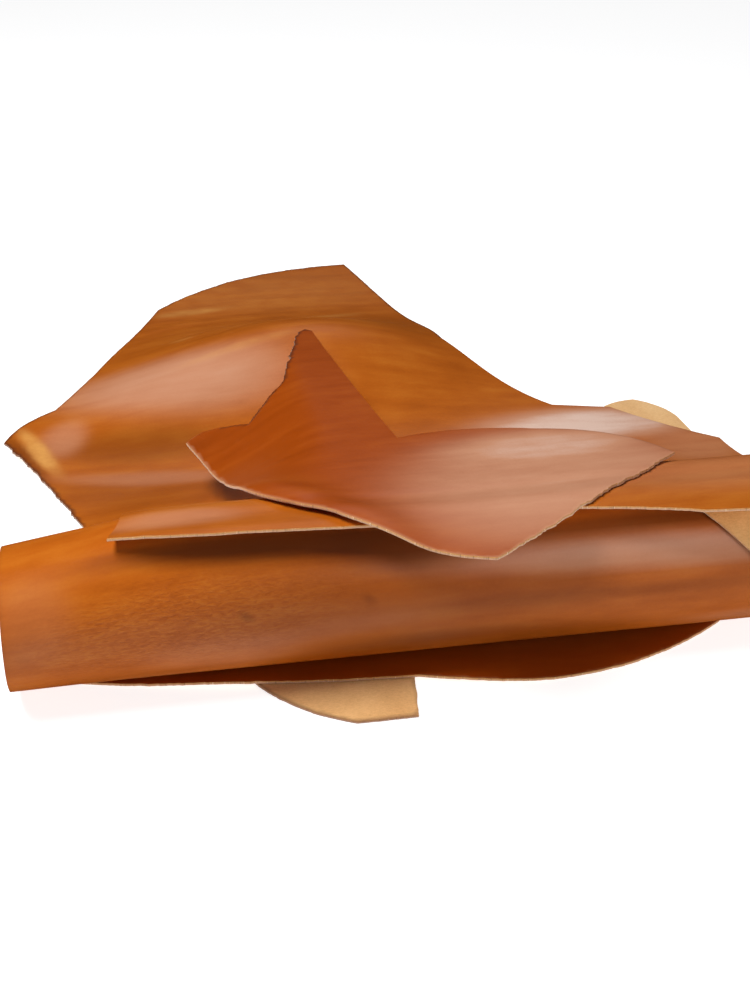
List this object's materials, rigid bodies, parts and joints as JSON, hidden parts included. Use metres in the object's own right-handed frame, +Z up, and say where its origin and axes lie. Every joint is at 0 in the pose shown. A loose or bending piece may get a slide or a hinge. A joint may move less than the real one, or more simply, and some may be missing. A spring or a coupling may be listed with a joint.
{
  "type": "heap of rolled and loose oil wax leather",
  "caption": "Smooth oil wax leather as a tube roll, with a large sheet draped over it and odd-shaped cut pieces on top, at the side and underneath.",
  "frame": {"origin": "below the roll's axis, on the flat underside of the lowest piece, where the heap rests", "axes": "+X along the roll, +Y from the roll towards the back of the draped sheet, +Z up"},
  "size_m": [0.545, 0.7404, 0.1084],
  "materials": {
    "roll_grain": "oiled, semi-gloss smooth grain",
    "sheet_grain": "oiled, semi-gloss smooth grain",
    "dark_grain": "oiled, semi-gloss smooth grain",
    "flesh": "matt raw flesh side"
  },
  "bodies": {
    "root": {"roll": "roll_grain", "big_sheet": "sheet_grain", "top_offcut": "dark_grain", "side_offcut": "flesh", "lower_offcut": "dark_grain", "base_offcut": "flesh"}
  },
  "joints": []
}
